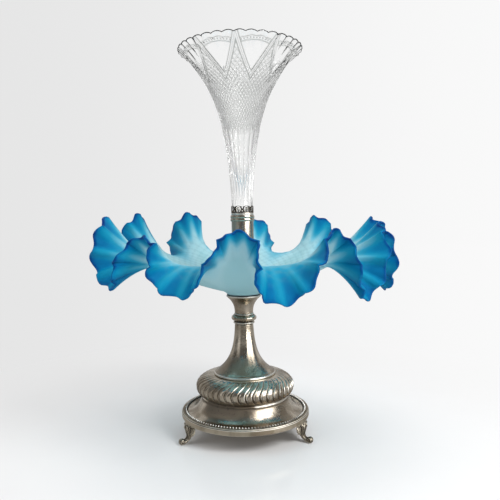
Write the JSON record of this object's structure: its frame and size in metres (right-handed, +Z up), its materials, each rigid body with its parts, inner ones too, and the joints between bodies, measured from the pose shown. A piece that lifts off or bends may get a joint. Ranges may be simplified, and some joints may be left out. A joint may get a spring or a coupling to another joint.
{
  "type": "epergne",
  "caption": "Table centrepiece: a silver-plated footed stand that carries a ruffled satin glass bowl and, in a pierced socket, a pressed-glass trumpet flower vase.",
  "frame": {"origin": "on the table, under the middle of the stand", "axes": "+Z up along the stand and the vase, -Y to the front, +X to the right as seen from the front"},
  "size_m": [0.2995, 0.2771, 0.38],
  "materials": {
    "silver": "worn silver plate on brass, darkened in the recesses",
    "steel": "plain turned steel",
    "felt": "black felt",
    "satin_glass": "acid-satined glass, pale in the well and deep blue at the ruffled edge",
    "cork": "bare cork",
    "clear_glass": "clear pressed glass, fire polished"
  },
  "bodies": {
    "stand": {"foot_front_left": "silver", "foot_front_right": "silver", "foot_back": "silver", "skirt_rim": "silver", "base_plate": "silver", "bead_border": "silver", "gadrooned_knop": "silver", "trumpet_stem": "silver", "stem_collar": "silver", "bowl_cup": "silver", "tie_rod": "steel", "rod_washer": "steel", "rod_nut": "steel", "cup_felt": "felt"},
    "bowl": {"bowl": "satin_glass"},
    "clamp": {"bowl_felt": "felt", "clamp_disc": "silver"},
    "socket": {"vase_socket": "silver", "reeded_band": "silver", "pierced_gallery": "silver"},
    "sleeve": {"cork_sleeve": "cork"},
    "vase": {"vase": "clear_glass"}
  },
  "joints": [
    {"name": "bowl_turn", "type": "hinge", "parent": "stand", "child": "bowl", "pos_m": [0, 0, 0.1362], "axis": [0, 0, 1], "continuous": true},
    {"name": "clamp_rise", "type": "slide", "parent": "stand", "child": "clamp", "axis": [0, 0, 1], "range_m": [0, 0.005]},
    {"name": "socket_turn", "type": "hinge", "parent": "clamp", "child": "socket", "pos_m": [0, 0, 0.1457], "axis": [0, 0, 1], "range_deg": [0, 1445]},
    {"name": "vase_turn", "type": "hinge", "parent": "socket", "child": "sleeve", "pos_m": [0, 0, 0.1657], "axis": [0, 0, 1], "continuous": true},
    {"name": "vase_lift", "type": "slide", "parent": "sleeve", "child": "vase", "axis": [0, 0, 1], "range_m": [0, 0.062]}
  ],
  "couplings": [
    {"joint": "socket_turn", "follows": "clamp_rise", "rad_per_m": 5026.5}
  ]
}
